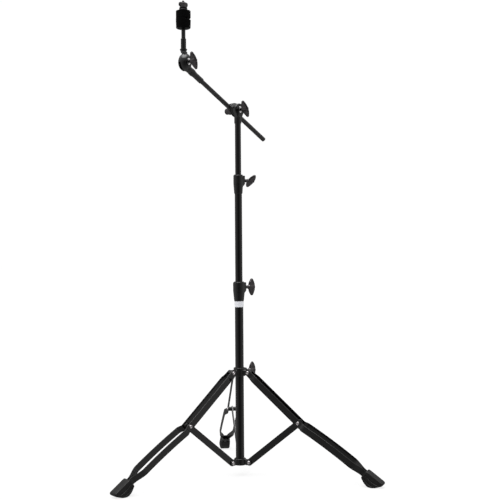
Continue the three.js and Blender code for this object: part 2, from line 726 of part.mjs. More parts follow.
const seat = new THREE.Group();
seat.position.z = -pivotZ;
seat.add(part("cymbal_post", cymbalPost(pivotZ), blackPaint));
seat.add(part("felt_sleeve", sleeve(), nylon));
seat.add(part("seat_cup", seatCup(), blackNickel));
seat.add(part("lower_felt", lowerFelt(), felt));
seat.add(part("upper_felt", upperFelt(), felt));
seat.add(part("top_washer", topWasher(), blackNickel));
const nut = part("top_wing_nut", topWingNut(), blackNickel);
nut.rotation.z = radians(-10);
seat.add(nut);
tilter.add(seat);

export default stand;
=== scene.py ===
"""Cymbal boom stand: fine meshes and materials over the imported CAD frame.

A shape is made in millimetres in a local frame. A matrix worked out from the frame's joints then
lays it into the stand, in metres.
"""
import json
import math

import bmesh
import bpy
from mathutils import Matrix, Vector, noise


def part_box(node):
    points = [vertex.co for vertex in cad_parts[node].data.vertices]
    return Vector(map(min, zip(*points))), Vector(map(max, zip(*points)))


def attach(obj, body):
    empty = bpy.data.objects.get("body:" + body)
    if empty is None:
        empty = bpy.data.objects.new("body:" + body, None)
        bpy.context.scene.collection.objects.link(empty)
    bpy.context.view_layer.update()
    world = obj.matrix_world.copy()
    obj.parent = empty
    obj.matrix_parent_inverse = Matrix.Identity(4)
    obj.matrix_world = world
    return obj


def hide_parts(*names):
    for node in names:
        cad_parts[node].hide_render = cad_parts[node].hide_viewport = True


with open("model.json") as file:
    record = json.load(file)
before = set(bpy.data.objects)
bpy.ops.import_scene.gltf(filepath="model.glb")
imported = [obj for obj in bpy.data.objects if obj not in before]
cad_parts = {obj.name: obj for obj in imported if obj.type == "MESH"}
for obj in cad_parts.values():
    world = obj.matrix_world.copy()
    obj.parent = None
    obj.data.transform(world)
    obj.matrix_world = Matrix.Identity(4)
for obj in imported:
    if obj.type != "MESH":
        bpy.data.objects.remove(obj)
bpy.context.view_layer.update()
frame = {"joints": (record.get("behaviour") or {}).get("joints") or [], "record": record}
JOINTS = {joint["name"]: joint for joint in frame["joints"]}
MM = 0.001
NO_TURN = Matrix.Identity(4)
UP = Vector((0, 0, 1))

# ---- sizes in millimetres ----
GAP = 0.3  # between a part and its neighbour, and round a pin in its hole
SLIDE_GAP = 0.35  # round a tube in its clamp
TUBE_WALL = 1.2
STRIP = {"height": 17.2, "hub_end": 14.8, "thickness": 2.0, "near_hub": 8.6, "at_knee": 12.0,
         "spread": 19.5, "in_foot": 5.0}
STRIP_END = Vector((345, 0, 26))
ARCH_START = 8
ARCH_HANDLE = 56
KNEE_RADIUS = 165
BRACE = {"height": 17.2, "thickness": 2.5}
BRACE_FACE = BRACE["thickness"] / 2 + GAP
SPACER = {"radius": 5.75, "bore": 2.85}
EAR_FACE = 4.75
LUG_HALF = 7.3
RIVET = {"shank": 2.5, "head": 4.5, "height": 1.5}
RIVET_HOLE = RIVET["shank"] + GAP
STUD_RADIUS = 3.0
STUD_HOLE = STUD_RADIUS + GAP
WING_REACH = 27
FOOT_HALF_WIDTH = 13.5
ROD_RADIUS = 5.9
SHOE_RADIUS = 7.1
YOKE = {"radius": 16.5, "far": -4.0, "near": 8.5}
HOOD = {"radius": 19.5, "near": 9.0, "far": 24.5}
FORK = {"far": -9.5, "near": 20.0, "slot": 4.0, "slot_half": 4.6, "bridge": 13.9}
HOUSING = {"plan": 17.3, "tall": 23.0, "shift": 5.5}
HEAD_SCALE = 0.955
POST_RADIUS = 3.6
FELT_BORE = 4.85
SEAT = {"flare": 1101.3, "neck": 1127.4, "shoulder": 1151.8, "sleeve_top": 1195.1,
        "washer": 1197.4, "washer_top": 1205.2, "nut_top": 1219.6}


def pivot(joint):
    """A joint's point in millimetres."""
    return Vector(JOINTS[joint]["pos_m"]) / MM


UPPER_PIVOT_Z = pivot("leg_1_swing").z
LOWER_PIVOT_Z = pivot("brace_1_swing").z
PIVOT_RADIUS = pivot("leg_1_swing").to_2d().length
KNEE_Z = sum(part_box("leg_1_knee_rivet_left"), Vector()).z / 2 / MM
ROD_AXIS = Vector(JOINTS["boom_reach"]["axis"])
BOOM_TILT = math.asin(ROD_AXIS.z)


# ---- local frames ----
def spin(axis, degrees):
    return Matrix.Rotation(math.radians(degrees), 4, axis)


def about_z(direction):
    """The frame turned about Z so that X points along a vector's level direction."""
    return Matrix.Rotation(math.atan2(direction.y, direction.x), 4, "Z")


def at(x, y, z):
    return Matrix.Translation((x, y, z))


BOLT_FRAME = about_z(Vector(JOINTS["base_wing_turn"]["axis"]))
ACROSS = -Vector(JOINTS["boom_tilt"]["axis"])
BOOM_TURN = about_z(ACROSS.cross(UP))
CLAMP_FRAME = Matrix.Translation(pivot("boom_tilt")) @ BOOM_TURN
TILTER_FRAME = Matrix.Translation(pivot("cymbal_tilt")) @ BOOM_TURN
SEAT_FRAME = at(pivot("cymbal_tilt").x, pivot("cymbal_tilt").y, 0)
# These lay a shape made along Z along another axis.
X_AXIS = spin("Y", 90)
Y_AXIS = spin("X", -90)
MINUS_Y_AXIS = spin("X", 90)


# ---- outlines: lists of (across, up) points ----
def arc(cx, cz, radius, start, end, steps=10):
    angles = [math.radians(start + (end - start) * i / steps) for i in range(steps + 1)]
    return [(cx + radius * math.cos(a), cz + radius * math.sin(a)) for a in angles]


def rounded(points, radius, steps=4, closed=False):
    """The same outline with its corners rounded off; an open outline keeps its two ends."""
    count = len(points)
    result = []
    for i, point in enumerate(points):
        here = Vector(point)
        if not closed and i in (0, count - 1):
            result.append(point)
            continue
        before = Vector(points[i - 1]) - here
        after = Vector(points[(i + 1) % count]) - here
        if min(before.length, after.length) < 1e-4:
            result.append(point)
            continue
        start = here + before.normalized() * min(radius, before.length * 0.45)
        end = here + after.normalized() * min(radius, after.length * 0.45)
        for step in range(steps + 1):
            t = step / steps
            result.append(tuple(start * (1 - t) ** 2 + here * 2 * t * (1 - t) + end * t * t))
    return result


# ---- shapes: bmeshes in millimetres ----
def grid(rows, closed_ends=False):
    """Rows of the same number of points, joined in order and round; the ends may be capped."""
    shape = bmesh.new()
    rings = [[shape.verts.new(point) for point in row] for row in rows]
    count = len(rings[0])
    for low, high in zip(rings, rings[1:]):
        for i in range(count):
            j = (i + 1) % count
            shape.faces.new((low[i], low[j], high[j], high[i]))
    if closed_ends:
        shape.faces.new(rings[0][::-1])
        shape.faces.new(rings[-1])
    bmesh.ops.remove_doubles(shape, verts=shape.verts, dist=1e-4)
    bmesh.ops.recalc_face_normals(shape, faces=shape.faces)
    return shape


def turned(profile, segments=96, radius=None):
    """A profile of (radius, height) points turned about Z. radius(r, angle, z) may change the
    radius from place to place."""
    rows = []
    for r, z in profile:
        row = []
        for i in range(segments):
            angle = 2 * math.pi * i / segments
            reach = radius(r, angle, z) if radius and r > 0 else r
            row.append((reach * math.cos(angle), reach * math.sin(angle), z))
        rows.append(row)
    return grid(rows)


def bar(radius, start, end, edge=0.0, segments=64):
    """A round bar along Z, with its edges rounded."""
    profile = [(0, start), (radius, start), (radius, end), (0, end)]
    return turned(rounded(profile, edge) if edge else profile, segments)


def hollow(profile, edge=0.3, segments=96):
    """A closed profile of (radius, height) points turned about Z, with its edges rounded."""
    soft = rounded(profile, edge, 3, closed=True)
    return turned(soft + soft[:1], segments)


def ring(outer, inner, start, end, edge=0.3, segments=96):
    return hollow([(inner, start), (outer, start), (outer, end), (inner, end)], edge, segments)


def slab(outline, start, end, edge=0.0):
    """An outline in X and Z given a thickness along Y, its edges rounded."""
    shape = grid([[(x, y, z) for x, z in outline] for y in (start, end)], closed_ends=True)
    if edge:
        rims = [e for e in shape.edges if abs(e.verts[0].co.y - e.verts[1].co.y) < 1e-5]
        bmesh.ops.bevel(
            shape, geom=rims, offset=edge, segments=3, affect="EDGES", clamp_overlap=True
        )
    return shape


def block(x0, x1, y0, y1, z0, z1):
    return slab([(x0, z0), (x1, z0), (x1, z1), (x0, z1)], y0, y1)


def moved(shape, matrix):
    shape.transform(matrix)
    if matrix.determinant() < 0:
        bmesh.ops.reverse_faces(shape, faces=shape.faces)
    return shape


def joined(*shapes):
    """Several shapes as one mesh."""
    total = bmesh.new()
    for shape in shapes:
        mesh = bpy.data.meshes.new("part")
        shape.to_mesh(mesh)
        total.from_mesh(mesh)
        bpy.data.meshes.remove(mesh)
        shape.free()
    return total


def helper(shape):
    """A temporary object for a modifier to work on or with."""
    mesh = bpy.data.meshes.new("helper")
    shape.to_mesh(mesh)
    shape.free()
    obj = bpy.data.objects.new("helper", mesh)
    bpy.context.scene.collection.objects.link(obj)
    return obj


def remesh(obj, voxel):
    step = obj.modifiers.new("voxels", "REMESH")
    step.mode = "VOXEL"
    step.voxel_size = voxel


def cut(obj, tool):
    step = obj.modifiers.new("cut", "BOOLEAN")
    step.operation = "DIFFERENCE"
    step.solver = "MANIFOLD"
    step.object = tool


def cast(solids, carved=(), machined=(), voxel=0.55, smooth=5):
    """Solids fused into one with soft edges, like a casting. Cuts by the carved tools have soft
    edges too, and cuts by the machined tools have crisp ones."""
    obj = helper(joined(*solids))
    tools = [helper(tool) for tool in (*carved, *machined)]
    remesh(obj, voxel)
    for tool in tools[:len(carved)]:
        cut(obj, tool)
    if carved:
        remesh(obj, voxel)
    soften = obj.modifiers.new("soften", "SMOOTH")
    soften.factor = 0.5
    soften.iterations = smooth
    for tool in tools[len(carved):]:
        cut(obj, tool)
    evaluated = obj.evaluated_get(bpy.context.evaluated_depsgraph_get())
    mesh = bpy.data.meshes.new_from_object(evaluated)
    shape = bmesh.new()
    shape.from_mesh(mesh)
    bpy.data.meshes.remove(mesh)
    for extra in (obj, *tools):
        bpy.data.meshes.remove(extra.data)
    return shape


# ---- materials ----
class Shader:
    """A material with one Principled shader, varied by noise in the object's own space."""

    def __init__(self, name, **values):
        self.material = bpy.data.materials.new(name)
        self.material.use_nodes = True
        self.nodes = self.material.node_tree.nodes
        self.links = self.material.node_tree.links
        self.shader = self.nodes["Principled BSDF"]
        self.place = self.nodes.new("ShaderNodeTexCoord").outputs["Object"]
        for socket, value in values.items():
            self.shader.inputs[socket.replace("_", " ")].default_value = value

    def noise(self, size_mm, detail, stretch=(1, 1, 1)):
        """Noise with features of about that size."""
        mapping = self.nodes.new("ShaderNodeMapping")
        mapping.inputs["Scale"].default_value = stretch
        self.links.new(self.place, mapping.inputs["Vector"])
        texture = self.nodes.new("ShaderNodeTexNoise")
        texture.inputs["Scale"].default_value = 1 / (size_mm * MM)
        texture.inputs["Detail"].default_value = detail
        self.links.new(mapping.outputs["Vector"], texture.inputs["Vector"])
        return texture.outputs["Fac"]

    def blend(self, factor, low, high):
        """A colour between two, by a factor."""
        ramp = self.nodes.new("ShaderNodeValToRGB")
        for stop, position, colour in zip(ramp.color_ramp.elements, (0.35, 0.65), (low, high)):
            stop.position = position
            stop.color = (*colour, 1)
        self.links.new(factor, ramp.inputs["Fac"])
        return ramp.outputs["Color"]

    def between(self, factor, low, high):
        """A value between two, by a factor."""
        change = self.nodes.new("ShaderNodeMapRange")
        change.inputs["From Min"].default_value = 0.3
        change.inputs["From Max"].default_value = 0.7
        change.inputs["To Min"].default_value = low
        change.inputs["To Max"].default_value = high
        self.links.new(factor, change.inputs["Value"])
        return change.outputs["Result"]

    def drive(self, socket, output):
        self.links.new(output, self.shader.inputs[socket])

    def bump(self, height, depth_mm, strength):
        node = self.nodes.new("ShaderNodeBump")
        node.inputs["Distance"].default_value = depth_mm * MM
        node.inputs["Strength"].default_value = strength
        self.links.new(height, node.inputs["Height"])
        self.links.new(node.outputs["Normal"], self.shader.inputs["Normal"])


def enamel(name):
    """Glossy black stoving enamel, with a faint orange peel."""
    look = Shader(name, Specular_IOR_Level=0.5)
    cloud = look.noise(14, 4)
    look.drive("Base Color", look.blend(cloud, (0.0010, 0.0009, 0.0009), (0.0020, 0.0018, 0.0018)))
    look.drive("Roughness", look.between(look.noise(5, 3), 0.12, 0.19))
    look.bump(look.noise(1.6, 2), 0.01, 0.3)
    return look.material


def casting():
    """Black powder coat over a die casting, satin and finely grained."""
    look = Shader("black_casting", Specular_IOR_Level=0.5)
    cloud = look.noise(6, 5)
    look.drive("Base Color", look.blend(cloud, (0.0016, 0.0015, 0.0015), (0.0032, 0.003, 0.003)))
    look.drive("Roughness", look.between(look.noise(2.5, 4), 0.18, 0.3))
    look.bump(look.noise(0.8, 4), 0.025, 0.35)
    return look.material


def nickel(name, low, high, roughness):
    """Black nickel plate, dark and metallic, in patches of two shades."""
    look = Shader(name, Metallic=1.0)
    cloud = look.noise(5, 5)
    look.drive("Base Color", look.blend(cloud, low, high))
    look.drive("Roughness", look.between(look.noise(3, 5), *roughness))
    look.bump(look.noise(1.2, 3), 0.03, 0.4)
    return look.material


def bright_steel(name, base):
    """Bright plated steel with fine turning marks."""
    look = Shader(name, Metallic=1.0)
    cloud = look.noise(2.2, 5)
    low = tuple(0.86 * c for c in base)
    look.drive("Base Color", look.blend(cloud, low, base))
    look.drive("Roughness", look.between(look.noise(1.5, 4), 0.2, 0.38))
    look.bump(look.noise(0.35, 3), 0.02, 0.5)
    return look.material


def knurled():
    """Black finish on knurled steel, worn a little paler than the tubes."""
    look = Shader("knurled_enamel", Metallic=0.35, Specular_IOR_Level=0.5)
    cloud = look.noise(7, 5)
    look.drive("Base Color", look.blend(cloud, (0.011, 0.0102, 0.0104), (0.019, 0.0175, 0.018)))
    look.drive("Roughness", look.between(look.noise(2, 4), 0.32, 0.46))
    look.bump(look.noise(0.5, 3), 0.03, 0.5)
    return look.material


def nylon():
    """Moulded black nylon, nearly matt."""
    look = Shader("black_nylon", Specular_IOR_Level=0.45)
    cloud = look.noise(4, 4)
    look.drive("Base Color", look.blend(cloud, (0.0016, 0.0016, 0.0016), (0.0034, 0.0032, 0.0032)))
    look.drive("Roughness", look.between(look.noise(2, 3), 0.38, 0.52))
    look.bump(look.noise(0.5, 3), 0.03, 0.4)
    return look.material


def rubber():
    """Moulded rubber with a fine grain and pale scuffs."""
    look = Shader("dark_rubber", Specular_IOR_Level=0.26)
    scuff = look.noise(9, 6)
    look.drive("Base Color", look.blend(scuff, (0.0012, 0.0011, 0.0011), (0.0036, 0.0034, 0.0033)))
    look.drive("Roughness", look.between(look.noise(3, 5), 0.42, 0.6))
    look.bump(look.noise(0.55, 5), 0.09, 0.6)
    return look.material


def felt():
    """Pressed black wool felt: matted fibres, a little grey lint."""
    look = Shader("black_felt", Specular_IOR_Level=0.04, Sheen_Weight=0.01, Sheen_Roughness=0.5)
    fibres = look.noise(0.5, 8, (1, 1, 0.55))
    look.drive("Base Color", look.blend(fibres, (0.0003, 0.0003, 0.0003), (0.0018, 0.0016, 0.0017)))
    look.drive("Roughness", look.between(look.noise(1.2, 5), 0.86, 1.0))
    look.bump(look.noise(0.42, 8, (1, 1, 0.6)), 0.25, 0.7)
    return look.material


def silver():
    """A blank silver-white foil band."""
    look = Shader("silver_band", Metallic=0.25, Specular_IOR_Level=0.5)
    cloud = look.noise(3, 4)
    look.drive("Base Color", look.blend(cloud, (0.66, 0.67, 0.7), (0.74, 0.745, 0.78)))
    look.drive("Roughness", look.between(look.noise(1.5, 3), 0.3, 0.42))
    look.bump(look.noise(0.8, 3), 0.015, 0.4)
    return look.material


ENAMEL = enamel("black_enamel")
HEAD_ENAMEL = enamel("head_enamel")
CASTING = casting()
NICKEL = nickel("black_nickel", (0.045, 0.041, 0.043), (0.08, 0.075, 0.078), (0.18, 0.32))
DULL_NICKEL = nickel("dull_nickel", (0.006, 0.0055, 0.006), (0.012, 0.011, 0.012), (0.3, 0.5))
RIVET_STEEL = bright_steel("rivet_steel", (0.5, 0.475, 0.48))
WASHER_STEEL = bright_steel("washer_steel", (0.82, 0.8, 0.8))
KNURLED = knurled()
NYLON = nylon()
RUBBER = rubber()
FELT = felt()
SILVER = silver()
BODY_OF = {
    node: body
    for body, nodes in frame["record"]["behaviour"]["bodies"].items()
    for node in nodes
}
SHARP_ANGLE = math.radians(38)


def piece(name, shape, matrix, material, body=None):
    """A finished piece. Given a body, it is an extra piece that rides on it. Otherwise it is
    named after a CAD node, rides on that node's body and replaces the node."""
    mesh = bpy.data.meshes.new(name)
    moved(shape, Matrix.Scale(MM, 4) @ matrix).to_mesh(mesh)
    shape.free()
    mesh.shade_smooth()
    mesh.set_sharp_from_angle(angle=SHARP_ANGLE)
    mesh.materials.append(material)
    obj = bpy.data.objects.new(name if body else f"{name}_fine", mesh)
    bpy.context.scene.collection.objects.link(obj)
    weighting = obj.modifiers.new("weighting", "WEIGHTED_NORMAL")
    weighting.keep_sharp = True
    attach(obj, body or BODY_OF[name])
    if not body:
        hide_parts(name)
    return obj


# ---- column ----
def extent(node):
    """A round upright node's radius, bottom and top in millimetres, from its CAD box."""
    low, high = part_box(node)
    return (high.x - low.x) / 2 / MM, low.z / MM, high.z / MM


def column():
    for name, wall, edge, material in (
            ("base_tube", TUBE_WALL, 0.35, ENAMEL), ("mid_tube", TUBE_WALL, 0.35, ENAMEL),
            ("top_tube", TUBE_WALL, 0.35, ENAMEL), ("label_band", 0.5, 0.15, SILVER)):
        outer, bottom, top = extent(name)
        shape = ring(outer, outer - wall, bottom, top, edge, 128)
        piece(name, shape, NO_TURN, material)
    for name, wall, flange in (("base_bushing", 1.22, 13.4), ("mid_bushing", 1.24, 11.6)):
        outer, bottom, top = extent(name)
        under, over = top - 0.6, top + 0.7
        shape = hollow([(outer - wall, bottom), (outer, bottom), (outer, under),
                        (flange, under), (flange, over), (outer - wall, over)])
        piece(name, shape, NO_TURN, NYLON)


def collar(name, foot, rim, boss, bore, bolt_z):
    """A tapered clamp casting with a square boss for its wing bolt. It takes the radius at its
    foot and rim, the boss's reach, the tube's radius and the bolt's height."""
    _, bottom, top = extent(name)
    sill = bolt_z - 13
    body = turned([(0, bottom), (foot - 0.7, bottom), (foot, bottom + 0.9), (rim, sill + 4),
                   (rim, top - 0.8), (rim - 0.8, top), (0, top)])
    face = [(0, sill - 4), (foot, sill - 4), (boss, sill + 4), (boss, top - 0.5), (0, top - 0.5)]
    seat = moved(bar(5.2, boss - 2, boss + 0.7, 0.3), at(0, 0, bolt_z) @ X_AXIS)
    throat = moved(bar(STUD_HOLE, 6, boss + 3), at(0, 0, bolt_z) @ X_AXIS)
    machined = [bar(bore + SLIDE_GAP, bottom - 1, top + 1, segments=96), throat]
    shape = cast([body, slab(face, -7, 7, 1.2), seat], machined=machined)
    piece(name, shape, BOLT_FRAME, CASTING)


# ---- wings: axis along +X, measured from the pressed surface ----
def wing_outline(reach):
    """The wing as seen along Y: broad round tips, and a belly on the outer side."""
    upper = [(reach + 4, 0), (reach + 4.5, 6), (reach + 6.5, 13),
             *arc(reach + 15.5, 18.2, 4.6, 155, 35, 5), (reach + 22.8, 14.5), (reach + 25.2, 8),
             (reach + 26, 0)]
    lower = [(x, -z) for x, z in upper[-2:0:-1]]
    return rounded(upper + lower, 2.5, closed=True)


def wing(reach, stem, bore=None):
    """A wing bolt's or wing nut's head with the stem that it stands on."""
    knob = turned(rounded([(0, stem), (4.3, stem), (4.3, reach + 2), (6, reach + 6),
                           (6, reach + 20), (3.6, reach + 25), (0, reach + 25.6)], 1.2))
    solids = [moved(knob, X_AXIS), slab(wing_outline(reach), -3.0, 3.0, 1.5)]
    dishes = [moved(turned([(0, 0), (3.4, 0), (5.2, 3), (0, 3)]), at(reach + 15.5, y, z) @ out)
              for z in (14, -14) for y, out in ((4.1, Y_AXIS), (-4.1, MINUS_Y_AXIS))]
    machined = [moved(bar(bore, stem - 1, reach + 18), X_AXIS)] if bore else []
    return cast(solids, carved=dishes, machined=machined, voxel=0.42)


def thread(radius, start, end, pitch=1.0, segments=48):
    """A screw thread along Z: a helical groove, with both ends of the screw tapered."""
    steps = int((end - start) / pitch * 6)
    profile = [(0, start)] + [(radius, start + (end - start) * i / steps)
                              for i in range(steps + 1)] + [(0, end)]

    def helix(r, angle, z):
        share = (z / pitch - angle / (2 * math.pi)) % 1
        taper = min(1, (z - start) / pitch, (end - z) / pitch)
        return r - 0.32 * abs(2 * share - 1) - 0.35 * (1 - max(taper, 0))

    return turned(profile, segments, helix)


def wing_bolts():
    for name, joint, tip, degrees in (("base_wing_bolt", "base_wing_turn", 11.45, 0),
                                      ("mid_wing_bolt", "mid_wing_turn", 9.88, 51),
                                      ("hub_wing_bolt", "hub_wing_turn", 11.5, 0)):
        screw = moved(thread(STUD_RADIUS, tip, WING_REACH - 4), X_AXIS)
        shape = joined(wing(WING_REACH, WING_REACH - 6), screw)
        height = at(0, 0, pivot(joint).z)
        piece(name, shape, height @ BOLT_FRAME @ spin("X", degrees), NICKEL)


# ---- tripod ----
def leg_frame(number):
    return about_z(pivot(f"leg_{number}_swing").to_2d().to_3d())


def pin(radius, y0, y1, x, z):
    """A plain round bar along Y, as a tool for holes."""
    return moved(bar(radius, y0, y1), at(x, 0, z) @ Y_AXIS)


def hubs():
    turns = [leg_frame(n) for n in (1, 2, 3)]
    z = LOWER_PIVOT_Z
    ear = [(10, z - 6.6), *arc(PIVOT_RADIUS, z, 7.2, -85, 85), (10, z + 8.4)]
    _, bottom, top = extent("lower_hub")
    tube_radius, tube_bottom, _ = extent("base_tube")
    solids = [bar(15.5, bottom, top, 1.2, 96)]
    tools = [bar(tube_radius + GAP, tube_bottom - GAP, 60, segments=96)]
    for turn in turns:
        solids += [moved(slab(ear, 1.4, EAR_FACE, 0.5), turn),
                   moved(slab(ear, -EAR_FACE, -1.4, 0.5), turn)]
        slot = block(14.4, 40, -BRACE_FACE, BRACE_FACE, bottom - 4, top + 2)
        tools += [moved(slot, turn), moved(pin(RIVET_HOLE, -9, 9, PIVOT_RADIUS, z), turn)]
    piece("lower_hub", cast(solids, machined=tools), NO_TURN, CASTING)

    z = UPPER_PIVOT_Z
    lug = [(8, z - 7), *arc(PIVOT_RADIUS, z, 7, -90, 90), (8, z + 7)]
    waist = turned(rounded([(0, z - 9.6), (15.6, z - 9.6), (15.6, z + 12.4), (0, z + 12.4)], 1.2))
    boss = [(0, z - 5), (20.3, z - 5), (20.3, z + 11), (0, z + 11)]
    bolt_z = pivot("hub_wing_turn").z
    solids = [waist, moved(slab(boss, -7, 7, 1.2), BOLT_FRAME)]
    tools = [bar(tube_radius + SLIDE_GAP, z - 30, z + 30, segments=96),
             moved(bar(STUD_HOLE, 5, 25), BOLT_FRAME @ at(0, 0, bolt_z) @ X_AXIS)]
    for turn in turns:
        solids.append(moved(slab(lug, -LUG_HALF, LUG_HALF, 1.0), turn))
        tools.append(moved(pin(RIVET_HOLE, -9, 9, PIVOT_RADIUS, z), turn))
    piece("leg_hub", cast(solids, machined=tools), NO_TURN, CASTING)


def leg_line(steps=120):
    """Points along a strip's middle in the leg's upright plane, each with the distance run and
    the slope there, and the distance to the knee. The strip is straight from the hub rivet to
    just past the knee, and arches from there into the foot."""
    hub = Vector((PIVOT_RADIUS, 0, UPPER_PIVOT_Z))
    knee = Vector((KNEE_RADIUS, 0, KNEE_Z))
    along = (knee - hub).normalized()
    bend = knee + along * ARCH_START
    first = bend + Vector((ARCH_HANDLE, 0, -0.575 * ARCH_HANDLE))
    second = STRIP_END + Vector((-ARCH_HANDLE, 0, 0.8 * ARCH_HANDLE))
    points = [hub.lerp(bend, i / 40) for i in range(40)]
    for i in range(steps + 1):
        t = i / steps
        points.append(bend * (1 - t) ** 3 + first * 3 * t * (1 - t) ** 2
                      + second * 3 * t * t * (1 - t) + STRIP_END * t ** 3)
    run = 0.0
    line = []
    for i, point in enumerate(points):
        if i:
            run += (point - points[i - 1]).length
        after = points[min(i + 1, len(points) - 1)]
        before = points[max(i - 1, 0)]
        line.append((point, run, (after - before).normalized()))
    return line, (knee - hub).length


def ease(value, start, end):
    """Rises smoothly from 0 to 1 as a value goes from start to end."""
    t = min(max((value - start) / (end - start), 0), 1)
    return t * t * (3 - 2 * t)


def strip(side):
    """Flat bar on edge: close to its twin at the hub, spread past the knee, and drawn in again
    at the foot. The hub end is round."""
    line, knee_at = leg_line()
    length = line[-1][1]
    half = STRIP["height"] / 2
    hub_share = STRIP["hub_end"] / STRIP["height"]
    section = rounded([(-half, -1), (half, -1), (half, 1), (-half, 1)], 0.55, 3, closed=True)

    def stand_off(run):
        hub, knee, spread = STRIP["near_hub"], STRIP["at_knee"], STRIP["spread"]
        joggle = (knee - hub) * ease(run, 14, 27)
        outward = (spread - knee) * ease(run, knee_at + 7, knee_at + 21)
        inward = (STRIP["in_foot"] - spread) * ease(run, length - 52, length - 13)
        return hub + joggle + outward + inward

    def row(point, slope, run, share=1.0):
        up = Vector((-slope.z, 0, slope.x))
        lean = stand_off(run + 0.5) - stand_off(run - 0.5)
        thick = STRIP["thickness"] / 2 * math.hypot(1, lean)
        middle = stand_off(run)
        return [point + up * (s * share) + Vector((0, middle + t * thick, 0)) for s, t in section]

    start, _, slope = line[0]
    rows = []
    for degrees in (86, 75, 62, 48, 34, 20, 8):
        a = math.radians(degrees)
        rows.append(row(start - slope * half * hub_share * math.sin(a), slope, 0,
                        hub_share * math.cos(a)))
    rows += [row(point, slope, run, hub_share + (1 - hub_share) * ease(run, 0, 24))
             for point, run, slope in line]
    return moved(grid(rows, closed_ends=True), Matrix.Diagonal((1, side, 1, 1)))


def brace():
    rise, reach = KNEE_Z - LOWER_PIVOT_Z, KNEE_RADIUS - PIVOT_RADIUS
    tilt = math.degrees(math.atan2(rise, reach))
    half = BRACE["height"] / 2
    outline = [*arc(PIVOT_RADIUS, LOWER_PIVOT_Z, half, tilt + 90, tilt + 270, 16),
               *arc(KNEE_RADIUS, KNEE_Z, half, tilt - 90, tilt + 90, 16)]
    return slab(outline, -BRACE["thickness"] / 2, BRACE["thickness"] / 2, 0.45)


def rivet_head(face):
    """The profile of a tubular rivet's rolled head outside a face, as (radius, height)."""
    head, top = RIVET["head"], face + RIVET["height"]
    return [(head, face), (head, face + 0.45), (head - 0.5, top - 0.3), (head - 1.4, top),
            (2.3, top), (1.7, top - 0.35), (1.35, top - 1.2), (0, top - 1.3)]


def rivet(face, z):
    outer = rivet_head(face)
    profile = [(r, -h) for r, h in reversed(outer)] + [(RIVET["shank"], -face)]
    profile += [(RIVET["shank"], face)] + outer
    return moved(turned(profile, 48), at(PIVOT_RADIUS, 0, z) @ Y_AXIS)


def at_knee(shape, side):
    """A shape made along Z, laid on the knee's pivot to one side of the brace."""
    return moved(shape, Matrix.Diagonal((1, side, 1, 1)) @ at(KNEE_RADIUS, 0, KNEE_Z) @ Y_AXIS)


def half_rivet(side):
    face = STRIP["at_knee"] + STRIP["thickness"] / 2 + GAP
    shank = RIVET["shank"]
    profile = [(0, BRACE_FACE), (shank, BRACE_FACE), (shank, face)] + rivet_head(face)
    return at_knee(turned(profile, 48), side)


def spacer(side):
    end = STRIP["at_knee"] - STRIP["thickness"] / 2 - GAP
    return at_knee(ring(SPACER["radius"], SPACER["bore"], BRACE_FACE, end, 0.4, 48), side)


def groove(start, sag, end, side):
    """A tool that carves a lengthwise groove in a foot's side."""
    y = side * (FOOT_HALF_WIDTH + 0.2)
    rows = []
    for i in range(17):
        t = i / 16
        x = start[0] * (1 - t) ** 2 + sag[0] * 2 * t * (1 - t) + end[0] * t * t
        z = start[1] * (1 - t) ** 2 + sag[1] * 2 * t * (1 - t) + end[1] * t * t
        radius = 1.9 * min(1, 0.35 + 5 * t * (1 - t))  # thin at both ends
        slope = Vector((end[0] - start[0], 0, end[1] - start[1])).normalized()
        across = Vector((-slope.z, 0, slope.x))
        rows.append([Vector((x, y, z)) + across * radius * c + Vector((0, radius * s, 0))
                     for c, s in arc(0, 0, 1, 0, 330, 11)])
    return grid(rows, closed_ends=True)


def rubber_foot():
    """A moulded boot on the strips' ends, grooved along its sides, flat where it stands."""
    outline = [(329.8, 24.6), (331, 21.5), (337, 10.5), (345, 2.2), (352, 0), (363.5, 0),
               (382, 5.4), (385.8, 8.6), (385.8, 12), (384, 14.5), (350, 38.8), (346, 41.2),
               (342.8, 40.9)]
    body = slab(rounded(outline, 2.5, closed=True), -FOOT_HALF_WIDTH, FOOT_HALF_WIDTH, 1.8)
    grooves = []
    for side in (-1, 1):
        grooves.append(groove((339.5, 34.5), (352, 16), (374, 7), side))
        grooves.append(groove((334, 27.5), (343, 11), (360, 3), side))
    line, _ = leg_line()
    slope = line[-1][2]
    pocket = block(-24, 1, -6.3, 6.3, -9.2, 9.2)
    turn = Matrix.Rotation(math.atan2(-slope.z, slope.x), 4, "Y")
    moved(pocket, Matrix.Translation(STRIP_END) @ turn)
    return cast([body], carved=grooves, machined=[pocket], smooth=4)


def tripod():
    hubs()
    boot = rubber_foot()
    strip_face = STRIP["near_hub"] + STRIP["thickness"] / 2 + GAP
    for number in (1, 2, 3):
        turn = leg_frame(number)
        leg = f"leg_{number}"
        for side, word in ((1, "left"), (-1, "right")):
            piece(f"{leg}_strip_{word}", strip(side), turn, ENAMEL)
            piece(f"{leg}_knee_rivet_{word}", half_rivet(side), turn, RIVET_STEEL)
            piece(f"{leg}_knee_spacer_{word}", spacer(side), turn, NYLON)
        piece(f"{leg}_brace", brace(), turn, ENAMEL)
        piece(f"{leg}_hub_rivet", rivet(strip_face, UPPER_PIVOT_Z), turn, RIVET_STEEL)
        piece(f"{leg}_brace_rivet", rivet(EAR_FACE + GAP, LOWER_PIVOT_Z), turn, RIVET_STEEL)
        piece(f"{leg}_foot", boot.copy(), turn, RUBBER)


# ---- boom clamp: X along the boom, Y across it towards the wing nut, Z up from the pivot ----
ROD_OFFSET = (CLAMP_FRAME.inverted() @ pivot("boom_roll")).y
ALONG_ROD = at(0, ROD_OFFSET, 0) @ Matrix.Rotation(math.pi / 2 - BOOM_TILT, 4, "Y")


